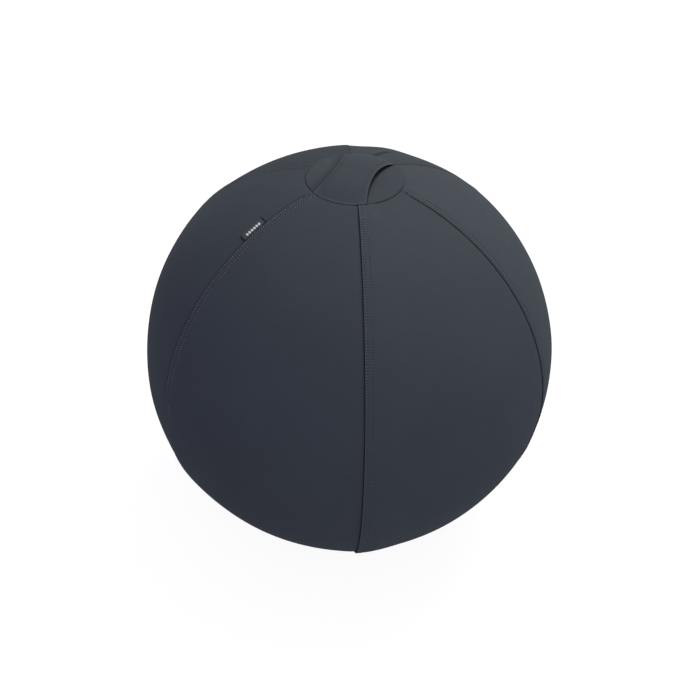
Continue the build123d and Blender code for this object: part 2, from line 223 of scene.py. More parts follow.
# Topstitch
STITCH_PITCH = 3.95 * MM
STITCH_LENGTH = 2.2 * MM
THREAD = 0.36 * MM  # half thickness
STITCH_RISE = 0.75  # of a stitch's middle, against the thread
STITCH_DIVE = 1.5  # and its fall from there to the ends
STITCH_CUT = 0.96  # t at its last ring
STITCH_SHIFT = 0.06  # uneven spacing, as a share of the pitch
STITCH_STRAY = 0.12  # and sideways, in millimetres
STITCH_SEED = 100 * SEED
HOLE = 1.3 * MM  # painted shade of a needle hole, half across
HOLE_ROUND = 0.8  # its width along the row, as a share
HOLE_SHADE = 0.38
HOLE_DARK = 0.4  # share of it that is fully dark
STITCH_RINGS = 5
STITCH_SIDES = 6
ZIP_TOP = math.radians(17.3)
ZIP_END = math.radians(84.2)
TACK_PITCH = 0.8 * MM
TACK_LONG = 2.2 * MM
TACK_STEP = 6 * MM  # between the two at the lower end
TOP_TACK = (ROW_NEAR - MM, ROW_FAR + 2 * MM)  # from and to, across the lap
END_TACK = (ROW_FAR - 1.6 * MM, ROW_FAR + 3 * MM)

# Looks of the cover's knit
COVER_TINT = (69, 75, 82)
KNIT_SWING = 0.16  # of its painted shade, from the grooves to the ribs
KNIT_BASE = 0.9
KNIT_DEPTH = 0.18 * MM
PAINTED_LIGHT_GAIN = 0.22  # gain of the lighter folds and edges, partly painted highlight, and of the crease's painted shade


def smooth(x):
    """Step from 0 to 1 with flat ends: three x squared less two x cubed."""
    x = np.clip(x, 0, 1)
    return x * x * (3 - 2 * x)


def bump(x):
    """Bell that is 1 at zero and about a third at one: e to the minus x squared."""
    return np.exp(-np.square(x))


def unit(polar, azimuth):
    """Direction from the ball's centre at a polar angle and an azimuth."""
    ring = np.sin(polar)
    return np.stack([ring * np.sin(azimuth), -ring * np.cos(azimuth), np.cos(polar) + 0 * ring], axis=-1)


def on_ball(polar, azimuth, height):
    """Point at a height over the ball's own radius."""
    return CENTRE + (BALL + height)[..., None] * unit(polar, azimuth)


def seam_azimuth(seam):
    """Azimuth of a seam's fold; the zip's is seam 0."""
    return ZIP_SEAM + seam * SEAM_STEP


def seam_angles(seam, along, across):
    """Polar angle and azimuth of a point beside a seam.

    The seam's half circle is moved sideways by `across`, square to its own plane, and the point lies
    at the angle `along` down from the top of that circle.
    """
    side = across / BALL
    rest = np.sqrt(1 - side**2)
    polar = np.arccos(rest * np.cos(along))
    azimuth = seam_azimuth(seam) + np.arctan2(side + 0 * along, rest * np.sin(along))
    return polar, azimuth


def rim_distance(polar):
    """Distance down or up from the nearer disc's rim, along the ball; negative under the disc."""
    nearer = np.minimum(polar, math.pi - polar)
    return (nearer - DISC_POLAR) * BALL


def ripple(along, seam):
    """Sum of three sines along a seam, with phases of the seam's own."""
    phases = np.random.default_rng(SEED + seam).uniform(0, 2 * math.pi, RIPPLE_LENGTHS.size)
    run = 2 * math.pi * along * BALL
    waves = [np.sin(run / length + phase) for length, phase in zip(RIPPLE_LENGTHS, phases)]
    return sum(waves) / len(waves)


def crease(polar, azimuth):
    """Height of the crease in the back panel, and its line of painted shade.

    Across its leaning line the height is a bell for the ridge, less a lower one for the groove towards
    +X, and the painted shade is a narrow bell between them. Both fade at the crease's ends.
    """
    down = (polar - DISC_POLAR) * BALL
    line = CREASE_AZIMUTH + CREASE_LEAN * (polar - DISC_POLAR)
    across = (azimuth - line) * np.sin(polar) * BALL
    share = smooth(down / CREASE_WIDE) * (1 - smooth((down - CREASE_LONG) / CREASE_FADE))
    ridge = bump((across - CREASE_WIDE) / CREASE_WIDE)
    groove = CREASE_GROOVE * bump((across + CREASE_WIDE) / CREASE_WIDE)
    return CREASE_RISE * (ridge - groove) * share, share * bump(across / CREASE_LINE)


def swell(polar, azimuth):
    """Sum of broad bells, each about a direction of its own, by the angle from it."""
    here = unit(polar, azimuth)
    total = 0
    for place_polar, place_azimuth, reach, height in SWELLS:
        place = unit(np.radians(place_polar), np.radians(place_azimuth))
        angle = np.arccos(np.clip(here @ place, -1, 1))
        total = total + height * MM * bump(angle / math.radians(reach))
    return total


def skin_height(polar, azimuth):
    """Height of the cover's skin: a rounded six-sided ball with swells, a crease and ditches.

    Across a panel the height falls from the seams to the middle with the cube of the distance from
    the middle. It fades towards the poles with a power of the polar angle's sine. A ditch lies round
    each disc, and the strap's ends fill it.
    """
    turn = (azimuth - ZIP_SEAM) / SEAM_STEP
    from_middle = 2 * np.abs(turn - np.floor(turn) - 0.5)
    corner = CORNER * (2 * from_middle**3 - 1) * np.sin(polar) ** CORNER_FADE
    filled = DITCH_FILL * smooth((np.abs(np.cos(azimuth)) - math.cos(STRAP_END)) / DITCH_FILL_STEP)
    ditch = DITCH * (1 - filled) * bump(np.maximum(rim_distance(polar), 0) / DITCH_REACH)
    return corner - ditch + crease(polar, azimuth)[0] + swell(polar, azimuth)


def lap_height(seam, along):
    """Height of a lap, thinner where a disc is sewn over its ends."""
    whole = smooth(rim_distance(along) / LAP_THIN_REACH)
    return LAP_HEIGHTS[seam % PANELS] * (LAP_THIN + (1 - LAP_THIN) * whole)


def lap_reach(along):
    """Where a lap has sloped into its panel: further from the fold where the panel is wider."""
    return LAP_REACH + (LAP_REACH_WIDE - LAP_REACH) * smooth(rim_distance(along) / LAP_REACH_STEP)


def slider_bulge(along, across):
    """Rounded block over the slider and its pull: a flat-topped bell both ways."""
    down = (along - SLIDER_POLAR) * BALL / SLIDER_LONG
    side = (across - SLIDER_ACROSS) / SLIDER_WIDE
    return SLIDER_RISE * np.exp(-(down**4) - side**4)


def dip_and_shade_share(seam, along):
    """How much of the dip and of the painted shade lies beside a fold: none beside a low lap, all of it
    beside a high one.
    """
    return smooth((lap_height(seam, along) - DIP_AND_SHADE_FROM) / (DIP_AND_SHADE_FULL - DIP_AND_SHADE_FROM))


def band_height(seam, along, across):
    """Height of a lap's top over the skin, from the fold to where it has sloped into the panel.

    The lap is level to the end of the layers under it and falls from there in a long smooth step. Both
    stitch rows press a groove into it, and it puffs up between them as half a sine.
    """
    level = lap_height(seam, along)
    start = ZIP_LAP_LEVEL if seam == 0 else LAP_LEVEL
    fall = 1 - smooth((across - start) / (lap_reach(along) - start))
    grooves = bump((across - ROW_NEAR) / ROW_WIDTH) + bump((across - ROW_FAR) / ROW_WIDTH)
    between = np.clip((across - ROW_NEAR) / (ROW_FAR - ROW_NEAR), 0, 1)
    puff = BAND_PUFF * np.sin(math.pi * between) - ROW_DIP * grooves
    height = (level + puff) * fall + RIPPLE * ripple(along, seam) * bump(across / RIPPLE_REACH)
    if seam == 0:
        height = height + slider_bulge(along, across)
    return height


def lap_section(seam, along):
    """Across and height of the lap's cloth: turned under, round the fold, over the band and down its slope.

    The fold is half an ellipse between the underside and the band.
    """
    level = lap_height(seam, along)
    under = np.linspace(ZIP_HEM if seam == 0 else HEM, FOLD, HEM_COLUMNS + 1)[:-1]
    turn = np.radians(np.linspace(-90, 90, FOLD_COLUMNS))
    band = np.linspace(FOLD, ZIP_LAP_LEVEL, LAP_COLUMNS + 1)[1:]
    near = np.concatenate([under, FOLD - FOLD * np.cos(turn), band])
    near = np.broadcast_to(near, along.shape[:1] + near.shape)
    far = ZIP_LAP_LEVEL + (lap_reach(along) - ZIP_LAP_LEVEL) * np.linspace(0, 1, SLOPE_COLUMNS + 1)[1:]
    across = np.concatenate([near, far], axis=1)
    top = under.size + turn.size
    edge = band_height(seam, along, np.full_like(along, FOLD))
    low = np.minimum(FOLD_OPEN * level, level - CLOTH - HEM_CLEAR)
    fold_height = (edge + low) / 2 + (edge - low) / 2 * np.sin(turn)
    tops = band_height(seam, along, across[:, top:])
    lows = np.broadcast_to(low, (len(along), under.size))
    return across, np.concatenate([lows, fold_height, tops], axis=1)


def neighbour_section(seam, along):
    """Across and height of a panel's plain edge: drawn in beside the next fold, and on under it."""
    reach = ZIP_UNDERLAP if seam % PANELS == 0 else UNDERLAP
    beside = -EDGE_REACH * np.linspace(1, 0, EDGE_COLUMNS) ** EDGE_CROWD
    across = np.concatenate([beside, np.linspace(0, reach, UNDER_COLUMNS + 1)[1:]])
    across = np.broadcast_to(across, along.shape[:1] + across.shape)
    dip = bump(np.minimum(across, 0) / SEAM_DIP_REACH) * dip_and_shade_share(seam, along)
    drawn = SEAM_DIP * dip + UNDER_SINK * smooth(across / UNDER_SINK_REACH)
    waves = RIPPLE * ripple(along, seam % PANELS) * bump(across / RIPPLE_REACH)
    return across, waves - drawn


def row_span(seam):
    """Polar angles where a seam's stitch rows start and stop; the zip's run between its two ends."""
    clear = DISC_POLAR + ROW_CLEAR / BALL
    return (ZIP_TOP, ZIP_END) if seam == 0 else (clear, math.pi - clear)


def joined(lap, end):
    """Columns of a panel: those of its lap, even steps, and those of its plain edge."""
    share = np.linspace(0, 1, PANEL_STEPS + 1)[1:-1]
    return np.concatenate([lap, lap[:, -1:] + share * (end[:, :1] - lap[:, -1:]), end], axis=1)


def cover_panel(number):
    """Grid of one cover panel, from its own fold to under the next panel's, its cut pattern and its marks.

    Rows run down from the top disc to the base disc. Columns are the lap's section beside the panel's own
    seam, then even steps of azimuth, then the plain edge beside the next seam. The marks are the panel's own
    colour step, the lightening along the fold's top less the crease's line of painted shade, the painted
    shade under the hem and beside the next fold, and the place beside the stitch rows: across from the fold,
    out of reach beyond the rows' ends, and along from their start.
    """
    first = math.asin((DISC - PANEL_END) / BALL)
    along = np.linspace(first, math.pi - first, PANEL_ROWS)[:, None]
    lap_across, lap_rise = lap_section(number, along)
    end_across, end_rise = neighbour_section(number + 1, along)
    lap_polar, lap_azimuth = seam_angles(number, along, lap_across)
    end_polar, end_azimuth = seam_angles(number + 1, along, end_across)
    polar = joined(lap_polar, end_polar)
    azimuth = joined(lap_azimuth, end_azimuth)
    fold, edge = lap_rise.shape[1], end_rise.shape[1]
    rise = np.zeros_like(polar)
    rise[:, :fold] = lap_rise
    rise[:, -edge:] = end_rise
    points = on_ball(polar, azimuth, skin_height(polar, azimuth) + rise)
    centre_line = seam_azimuth(number + 0.5)
    chart = np.stack([(azimuth - centre_line) * np.sin(polar) * BALL, polar * BALL], axis=-1)
    # lighter along the fold's top, less the crease's line of painted shade
    wear_and_painted_light = np.zeros_like(polar)
    outer = lap_rise > FOLD_TOP * lap_height(number, along)
    wear_and_painted_light[:, :fold] = bump((lap_across - FOLD) / (2 * FOLD)) * outer
    wear_and_painted_light = wear_and_painted_light - CREASE_PAINTED_SHADE * crease(polar, azimuth)[1]
    # painted shade: all of it under the turned-under hem, and a line beside the next fold
    painted_shade = np.zeros_like(polar)
    painted_shade[:, :HEM_COLUMNS] = 1
    reach = PAINTED_SHADE_REACHES[(number + 1) % PANELS]
    painted_shade[:, -edge:] = dip_and_shade_share(number + 1, along) * bump(np.minimum(end_across, 0) / reach)
    start, stop = row_span(number)
    row_across = np.full_like(polar, LAP_REACH_WIDE)
    row_across[:, :fold] = lap_across
    row_across = row_across + ROW_AWAY * ((along < start) | (along > stop))
    row_along = np.broadcast_to((along - start) * BALL, polar.shape)
    tone_and_painted_light = np.full_like(polar, PANEL_TONES[number])
    marks = {"tone_and_painted_light": tone_and_painted_light, "wear_and_painted_light": wear_and_painted_light, "painted_shade": painted_shade, "row_across": row_across, "row_along": row_along}
    return points, chart, marks


def disc_profile(ring):
    """Height of a disc over the ball: level, then a quarter ellipse down into the seam at the rim."""
    fall = np.clip((ring - DISC + DISC_ROUND) / DISC_ROUND, 0, 1)
    return -DISC_TUCK + (DISC_RISE + DISC_TUCK) * np.sqrt(1 - fall**2)


def lap_lift(azimuth, ring):
    """How far the laps under a disc's rim push it up: a flat-topped bell over each lap's width."""
    turn = (azimuth - ZIP_SEAM) / SEAM_STEP
    nearest = np.round(turn)
    across = (turn - nearest) * SEAM_STEP * ring
    lift = LAP_THIN * LAP_HEIGHTS[nearest.astype(int) % PANELS] + LIFT_CLEAR
    bell = np.exp(-(((across - LIFT_ACROSS) / LIFT_WIDE) ** 4))
    return lift * bell * smooth((ring / DISC - LIFT_FROM) / (1 - LIFT_FROM))


def disc_puff(ring, azimuth):
    """Pillow of the top disc on the strap's left: a bell both ways, with none at the rim."""
    side = (ring * np.sin(azimuth) - PUFF_PLACE[0]) / PUFF_REACH[0]
    front = (-ring * np.cos(azimuth) - PUFF_PLACE[1]) / PUFF_REACH[1]
    return PUFF_RISE * bump(side) * bump(front) * (1 - (ring / DISC) ** 6)


def painted_disc_shade(points):
    """Painted shade on the top disc round its rim and beside the strap, where it is wide and faint on the
    left.

    Each is a bell of the distance from the rim or from the strap's edge. The rim's fades to the back.
    """
    x, y = points[..., 0], points[..., 1]
    share = np.clip(y / (DISC * math.cos(STRAP_END)), -1, 1)
    edge = STRAP_WAIST + (DISC * math.sin(STRAP_END) - STRAP_WAIST) * share**2
    outside = np.maximum(np.abs(x) - edge, 0)
    valley = VALLEY_SHADE * bump(outside / VALLEY_REACH)
    gap = GAP_SHADE * bump(outside / GAP_REACH)
    rim = bump((DISC - np.hypot(x, y)) / RIM_REACH) * (1 - smooth(y / RIM_BACK))
    return np.maximum(np.where(x < 0, valley, gap), RIM_SHADE * rim)


def disc_grid(base):
    """Grid of a round disc: rings from the middle to the rim, and a last one turned under it.

    The base's is flat where it would reach under the floor.
    """
    inner = np.linspace(0, DISC - DISC_ROUND, DISC_RINGS)
    quarter = np.radians(np.linspace(0, 90, RIM_RINGS + 1)[1:])
    rim = DISC - DISC_ROUND + DISC_ROUND * np.sin(quarter)
    ring = np.concatenate([inner, rim])[:, None]
    azimuth = np.linspace(0, 2 * math.pi, DISC_SPOKES + 1)[:-1]
    height = disc_profile(ring) + lap_lift(azimuth, ring)
    if not base:
        height = height + disc_puff(ring, azimuth)
    tuck = np.full((1, azimuth.size), DISC - DISC_ROUND / 2)
    height = np.concatenate([height, height[-1:] - CLOTH])
    ring = np.concatenate([np.broadcast_to(ring, (ring.size, azimuth.size)), tuck])
    polar = np.arcsin(ring / (BALL + height))
    azimuth = np.broadcast_to(azimuth, ring.shape)
    points = on_ball(math.pi - polar if base else polar, azimuth, height)
    if base:
        points[..., 2] = np.maximum(points[..., 2], 0)
    return points, points[..., :2].copy()


def strap_plan(across, along):
    """Plan of the carry strap: across and along run from -1 to 1, edge to edge and seam to seam.

    Each lengthwise line ends on the disc's seam, at its own share of the sewn arc, and is drawn in to
    its share of the waist with the square of the distance from the middle.
    """
    end_x = DISC * np.sin(STRAP_END * across)
    end_y = DISC * np.cos(STRAP_END * across)
    x = STRAP_WAIST * across + (end_x - STRAP_WAIST * across) * along**2
    return x, end_y * along


def front_bead(along):
    """Bell along the strap's front end, a little in from the seam."""
    return bump(((along + 1) * DISC - STRAP_BEAD_WIDE) / STRAP_BEAD_WIDE)


def strap_point(across, along, layer):
    """Point of the strap at a share `layer` of its thickness, from 0 under to 1 on top.

    The underside is a cap of a sphere through both sewn ends and the crown over the finger gap. Its
    edges curl down with the fourth power of `across`, and a groove marks each hem's stitch row. Both
    ends thin out, dive into the seam, and rise over the laps there with the disc's rim.
    """
    x, y = strap_plan(across, along)
    seat = math.sqrt((BALL + DISC_RISE) ** 2 - DISC**2)
    rise = BALL + DISC_RISE + STRAP_GAP - seat
    cap = (DISC**2 + rise**2) / (2 * rise)
    flat = 1 - along**4
    end = smooth((np.abs(along) - 1 + STRAP_TAPER) / STRAP_TAPER)
    under = seat + rise - cap + np.sqrt(cap**2 - x**2 - y**2)
    curl = np.where(across < 0, *STRAP_CURLS)
    under = under - curl * across**4 * flat - STRAP_SINK * end**2
    under = under + lap_lift(np.arctan2(x, -y), np.hypot(x, y))
    hem = 1 - STRAP_HEM / STRAP_WAIST
    dip = np.where(across < 0, *STRAP_HEM_DIPS)
    groove = dip * bump((np.abs(across) - hem) * STRAP_WAIST / STRAP_HEM_WIDE) * flat
    thick = STRAP_THICK + (STRAP_THIN - STRAP_THICK) * end + STRAP_BEAD * front_bead(along)
    up = np.stack([x, y, np.sqrt(cap**2 - x**2 - y**2)], axis=-1) / cap
    point = np.stack([x, y, CENTRE[2] + under], axis=-1)
    return point + up * (thick * layer - groove * layer)[..., None]


def strap_half(side):
    """Grid of half of the strap, a closed section from its sewn end to the middle, its chart and its painted
    highlight.
    """
    turn = np.radians(np.linspace(-90, 90, STRAP_TURN + 2)[1:-1])
    level = np.linspace(-1 + STRAP_EDGE, 1 - STRAP_EDGE, STRAP_LEVEL)
    across = np.concatenate([level, 1 - STRAP_EDGE + STRAP_EDGE * np.cos(turn), level[::-1]])
    across = np.concatenate([across, -(1 - STRAP_EDGE) - STRAP_EDGE * np.cos(turn)])
    top = np.ones(STRAP_LEVEL)
    layer = np.concatenate([top, 0.5 - 0.5 * np.sin(turn), 0 * top, 0.5 + 0.5 * np.sin(turn)])
    along = side * np.linspace(1, 0, STRAP_ROWS)[:, None]
    across, along = np.broadcast_arrays(across, along)
    points = strap_point(across, along, np.broadcast_to(layer, across.shape))
    # painted highlight along both edges and on the front end's bead
    wear_and_painted_light = bump((np.abs(across) - 1) / STRAP_EDGE_HIGHLIGHT) + STRAP_BEAD_HIGHLIGHT * front_bead(along)
    return points, points[..., :2].copy(), wear_and_painted_light


def label_grid():
    """Grid of the label: a thin closed section, rounded at its free edge, along the fold of its seam.

    It leaves the fold close to the panel and lifts towards the free edge with the square of the
    distance, a little more at both ends.
    """
    turn = np.radians(np.linspace(90, 270, LABEL_TURN + 2)[1:-1])
    near, far = -LABEL_NEAR, -LABEL_WIDE + LABEL_THICK / 2
    level = np.linspace(near, far, LABEL_COLUMNS)
    across = np.concatenate([level, far + LABEL_THICK / 2 * np.cos(turn), level[::-1]])
    layer = np.concatenate([np.ones(LABEL_COLUMNS), 0.5 + 0.5 * np.sin(turn), np.zeros(LABEL_COLUMNS)])
    step = np.linspace(-0.5, 0.5, LABEL_ROWS)[:, None]
    along = LABEL_POLAR + step * LABEL_LONG / BALL
    polar, azimuth = seam_angles(LABEL_SEAM, along, np.broadcast_to(across, (LABEL_ROWS, across.size)))
    free = (across / LABEL_WIDE) ** 2
    lift = LABEL_LIFT * free * (LABEL_LIFT_MIDDLE + LABEL_LIFT_ENDS * step**2)
    height = LABEL_SIT + lift + LABEL_THICK * layer
    points = on_ball(polar, azimuth, skin_height(polar, azimuth) + height)
    face = np.where(layer > LABEL_FACE, 0.0, 2 * LABEL_WIDE)
    chart = np.stack(np.broadcast_arrays(step * LABEL_LONG, -across + face), axis=-1)
    return points, chart


def cell_faces(rows, columns, closed):
    """Quads of a grid, wound so that they face out when rows run down and columns to the right."""
    index = np.arange(rows * columns).reshape(rows, columns)
    right = np.roll(index, -1, axis=1) if closed else index[:, 1:]
    left = index if closed else index[:, :-1]
    return np.stack([left[:-1], left[1:], right[1:], right[:-1]], axis=-1).reshape(-1, 4)


def new_piece(name, points, faces, material, chart=None, marks=None):
    """Object of a mesh at the origin, smooth, with its chart as UV map and its marks as attributes."""
    mesh = bpy.data.meshes.new(name)
    mesh.from_pydata(points.reshape(-1, 3).tolist(), [], faces)
    mesh.polygons.foreach_set("use_smooth", np.ones(len(mesh.polygons), bool))
    if chart is not None:
        corner = np.zeros(len(mesh.loops), np.int32)
        mesh.loops.foreach_get("vertex_index", corner)
        layer = mesh.uv_layers.new(name="Chart")
        layer.data.foreach_set("uv", chart.reshape(-1, 2)[corner].astype(np.float32).ravel())
    for mark, values in (marks or {}).items():
        attribute = mesh.attributes.new(mark, "FLOAT", "POINT")
        attribute.data.foreach_set("value", values.astype(np.float32).ravel())
    mesh.materials.append(material)
    piece = bpy.data.objects.new(name, mesh)
    bpy.context.scene.collection.objects.link(piece)
    return piece


def thicken(piece):
    """Give cloth its thickness, inwards."""
    wall = piece.modifiers.new("cloth", "SOLIDIFY")
    wall.thickness = CLOTH
    wall.offset = -1
    return piece


def stitch_piece(name, rows, length, material):
    """Mesh of short threads: closed six-sided rods that arch out of the cloth and dive in at both ends.

    Along a stitch, t runs from -1 to 1: its thickness is the root of one less t to the fourth, and its
    rise falls with the square of t. Each row gives its stitches' middles, directions and normals.
    """
    centre, forward, out = (np.concatenate(part) for part in zip(*rows))
    t = np.linspace(-STITCH_CUT, STITCH_CUT, STITCH_RINGS)
    turn = np.linspace(0, 2 * math.pi, STITCH_SIDES, endpoint=False)
    forward = forward / np.linalg.norm(forward, axis=1, keepdims=True)
    side = np.cross(out, forward)
    radius = THREAD * np.sqrt(1 - t**4)
    rise = THREAD * (STITCH_RISE - STITCH_DIVE * t**2)
    along = forward[:, None, None] * (t * length / 2)[None, :, None, None]
    round_side = side[:, None, None] * (radius[:, None] * np.cos(turn))[None, :, :, None]
    round_out = out[:, None, None] * (radius[:, None] * np.sin(turn) + rise[:, None])[None, :, :, None]
    points = centre[:, None, None] + along + round_side + round_out
    cells = cell_faces(STITCH_RINGS, STITCH_SIDES, True)
    first = np.arange(len(centre))[:, None] * STITCH_RINGS * STITCH_SIDES
    walls = (cells[None] + first[:, :, None]).reshape(-1, 4).tolist()
    ring = np.arange(STITCH_SIDES)
    starts = (first + ring).tolist()
    ends = (first + (STITCH_RINGS - 1) * STITCH_SIDES + ring[::-1]).tolist()
    return new_piece(name, points, walls + starts + ends, material)


def band_point(seam, along, across):
    """Point on a lap's top, and the ball's normal there."""
    polar, azimuth = seam_angles(seam, along, across)
    height = skin_height(polar, azimuth) + band_height(seam, along, across)
    return on_ball(polar, azimuth, height), unit(polar, azimuth)


def lap_places(seam, along, across, step):
    """Middles, directions and normals of stitches down a lap, from points a step before and after each."""
    middle, out = band_point(seam, along, across)
    forward = band_point(seam, along + step, across)[0] - band_point(seam, along - step, across)[0]
    return middle, forward, out


def row_places(seam, across, draw):
    """Places of one row of stitches down a lap, a little uneven."""
    start, stop = row_span(seam)
    count = int((stop - start) * BALL / STITCH_PITCH)
    shift = draw.uniform(-STITCH_SHIFT, STITCH_SHIFT, count)
    along = start + (np.arange(count) + 0.5 + shift) * STITCH_PITCH / BALL
    across = across + draw.uniform(-STITCH_STRAY, STITCH_STRAY, count) * MM
    return lap_places(seam, along, across, STITCH_LENGTH / 2 / BALL)


def seam_stitches(seam, material):
    """Both topstitch rows of a seam."""
    draw = np.random.default_rng(STITCH_SEED + seam)
    rows = [row_places(seam, across, draw) for across in (ROW_NEAR, ROW_FAR)]
    return stitch_piece(f"seam_stitches_{seam + 1}", rows, STITCH_LENGTH, material)


def zip_tacks(material):
    """Bar tacks, close threads along the seam: one across the lap above the zip, two short ones below it."""
    places = [(ZIP_TOP, TOP_TACK), (ZIP_END, END_TACK), (ZIP_END + TACK_STEP / BALL, END_TACK)]
    tacks = []
    for along, span in places:
        across = np.arange(*span, TACK_PITCH)
        tacks.append(lap_places(0, np.full_like(across, along), across, MM / BALL))
    return stitch_piece("zip_bar_tacks", tacks, TACK_LONG, material)


def strap_stitches(name, side, material):
    """Stitch row of both hems on half of the strap."""
    rows = []
    step = 0.01  # either way, to find the directions
    for hand in (-1, 1):
        along = side * (np.arange(STRAP_STITCHES) + 0.5) * STITCH_PITCH / DISC
        across = np.full_like(along, hand * (1 - STRAP_HEM / STRAP_WAIST))
        top = np.ones_like(along)
        middle = strap_point(across, along, top)
        forward = strap_point(across, along + step, top) - strap_point(across, along - step, top)
        sideways = strap_point(across + step, along, top) - strap_point(across - step, along, top)
        out = np.cross(sideways, forward)
        rows.append((middle, forward, out / np.linalg.norm(out, axis=1, keepdims=True)))
    return stitch_piece(f"strap_stitches_{name}", rows, STITCH_LENGTH, material)


def strap_faces(rows):
    """Quads of a strap half, and its ends: quads from top to underside and a face in each rounded edge."""
    columns = 2 * (STRAP_LEVEL + STRAP_TURN)
    under = 2 * STRAP_LEVEL + STRAP_TURN - 1
    top = np.arange(STRAP_LEVEL - 1)
    rungs = np.stack([top, top + 1, under - top - 1, under - top], axis=1).tolist()
    right = list(range(STRAP_LEVEL - 1, STRAP_LEVEL + STRAP_TURN + 1))
    left = list(range(under, columns)) + [0]
    first = rungs + [right, left]
    last = [[(rows - 1) * columns + corner for corner in face[::-1]] for face in first]
    return cell_faces(rows, columns, True).tolist() + first + last


def disc_faces(rows, columns):
    """Faces of a disc's grid, whose first row is one point: a fan, then rings of quads."""
    cells = cell_faces(rows - 1, columns, True) + 1
    ring = np.arange(columns)
    fan = np.stack([np.zeros_like(ring), ring + 1, np.roll(ring, -1) + 1], axis=1)
    return fan.tolist() + cells.tolist()


def colour(red, green, blue):
    """Linear colour of an sRGB one given in 0 to 255."""
    share = np.array([red, green, blue]) / 255
    linear = np.where(share <= 0.04045, share / 12.92, ((share + 0.055) / 1.055) ** 2.4)
    return tuple(linear)


def add(tree, kind, inputs=(), **settings):
    """New node with its settings; inputs pairs a socket's name or number with a value or another socket."""
    node = tree.nodes.new(kind)
    for name, value in settings.items():
        setattr(node, name, value)
    for name, value in dict(inputs).items():
        if isinstance(value, bpy.types.NodeSocket):
            tree.links.new(value, node.inputs[name])
        else:
            node.inputs[name].default_value = value
    return node


def calc(tree, operation, a, b=0.0, c=0.0):
    """Result socket of a Math node."""
    return add(tree, "ShaderNodeMath", {0: a, 1: b, 2: c}, operation=operation).outputs[0]


def apart(tree, a, b):
    """Socket of the distance between two values."""
    return calc(tree, "ABSOLUTE", calc(tree, "SUBTRACT", a, b))


def ramp(tree, value, low, high, start=0.0):
    """Socket that runs from `start` to 1 while a value runs from low to high."""
    inputs = {"Value": value, "From Min": low, "From Max": high, "To Min": start}
    return add(tree, "ShaderNodeMapRange", inputs).outputs[0]


def new_group(name, values, result):
    """Shader node group with a vector and some values in and one value out, and its two end nodes."""
    group = bpy.data.node_groups.new(name, "ShaderNodeTree")
    group.interface.new_socket("Vector", in_out="INPUT", socket_type="NodeSocketVector")
    for value in values:
        group.interface.new_socket(value, in_out="INPUT", socket_type="NodeSocketFloat")
    group.interface.new_socket(result, in_out="OUTPUT", socket_type="NodeSocketFloat")
    return group, group.nodes.new("NodeGroupInput"), group.nodes.new("NodeGroupOutput")


def knit_group():
    """Fine knit: rounded ribs along the cloth, each a chain of loops that slant down its sides."""
    slant, dip = 1.6, 0.25
    group, start, end = new_group("fine_knit", ("Rib", "Loop"), "Height")
    place = add(group, "ShaderNodeSeparateXYZ", {0: start.outputs["Vector"]})
    rib = calc(group, "DIVIDE", place.outputs["X"], start.outputs["Rib"])
    loop = calc(group, "DIVIDE", place.outputs["Y"], start.outputs["Loop"])
    ridge = calc(group, "ABSOLUTE", calc(group, "SINE", calc(group, "MULTIPLY", rib, math.pi)))
    lean = calc(group, "MULTIPLY_ADD", ridge, slant, calc(group, "MULTIPLY", loop, 2 * math.pi))
    wave = calc(group, "MULTIPLY_ADD", calc(group, "SINE", lean), dip, 1 - dip)
    group.links.new(calc(group, "MULTIPLY", ridge, wave), end.inputs["Height"])
    return group


def mottle_group():
    """Soft unevenness: two noises of different scale, as a factor about 1."""
    finer, weight = 7.0, 0.5  # scale and share of the second noise
    group, start, end = new_group("soft_mottle", ("Scale", "Amount"), "Factor")
    place, scale = start.outputs["Vector"], start.outputs["Scale"]
    broad = add(group, "ShaderNodeTexNoise", {"Vector": place, "Scale": scale})
    fine_scale = calc(group, "MULTIPLY", scale, finer)
    fine = add(group, "ShaderNodeTexNoise", {"Vector": place, "Scale": fine_scale})
    both = calc(group, "ADD", broad.outputs[0], calc(group, "MULTIPLY", fine.outputs[0], weight))
    about = calc(group, "SUBTRACT", both, (1 + weight) / 2)
    swing = calc(group, "MULTIPLY", about, start.outputs["Amount"])
    group.links.new(calc(group, "ADD", swing, 1.0), end.inputs["Factor"])
    return group


def new_material(name, roughness, **constants):
    """Material with a Principled shader, whose constant sockets are set directly."""
    material = bpy.data.materials.new(name)
    material.use_nodes = True
    tree = material.node_tree
    shader = next(node for node in tree.nodes if node.type == "BSDF_PRINCIPLED")
    shader.inputs["Roughness"].default_value = roughness
    for socket, value in constants.items():
        shader.inputs[socket.replace("_", " ")].default_value = value
    return material, tree, shader


def scaled(tree, tint, factor):
    """Colour socket of an sRGB tint times a factor."""
    node = add(tree, "ShaderNodeVectorMath", {0: colour(*tint), "Scale": factor}, operation="SCALE")
    return node.outputs[0]


def tinted(tree, shader, tint, factor):
    """Base colour of a shader: an sRGB tint times a factor."""
    tree.links.new(scaled(tree, tint, factor), shader.inputs["Base Color"])


def bumped(tree, shader, height, distance, strength):
    """Bump on a shader's normal."""
    node = add(tree, "ShaderNodeBump", {"Height": height, "Distance": distance, "Strength": strength})
    tree.links.new(node.outputs["Normal"], shader.inputs["Normal"])


def object_place(tree):
    """Socket of the object coordinates."""
    return add(tree, "ShaderNodeTexCoord").outputs["Object"]


def chart_place(tree):
    """Socket of the piece's own chart, in metres of cloth."""
    return add(tree, "ShaderNodeUVMap", uv_map="Chart").outputs["UV"]


def group_value(tree, group, **inputs):
    """First output of a placed group."""
    return add(tree, "ShaderNodeGroup", inputs, node_tree=group).outputs[0]


KNIT = knit_group()
MOTTLE = mottle_group()


def mark_value(tree, name):
    """Socket of one of a piece's marks, 0 where it has none."""
    return add(tree, "ShaderNodeAttribute", attribute_name=name).outputs["Fac"]


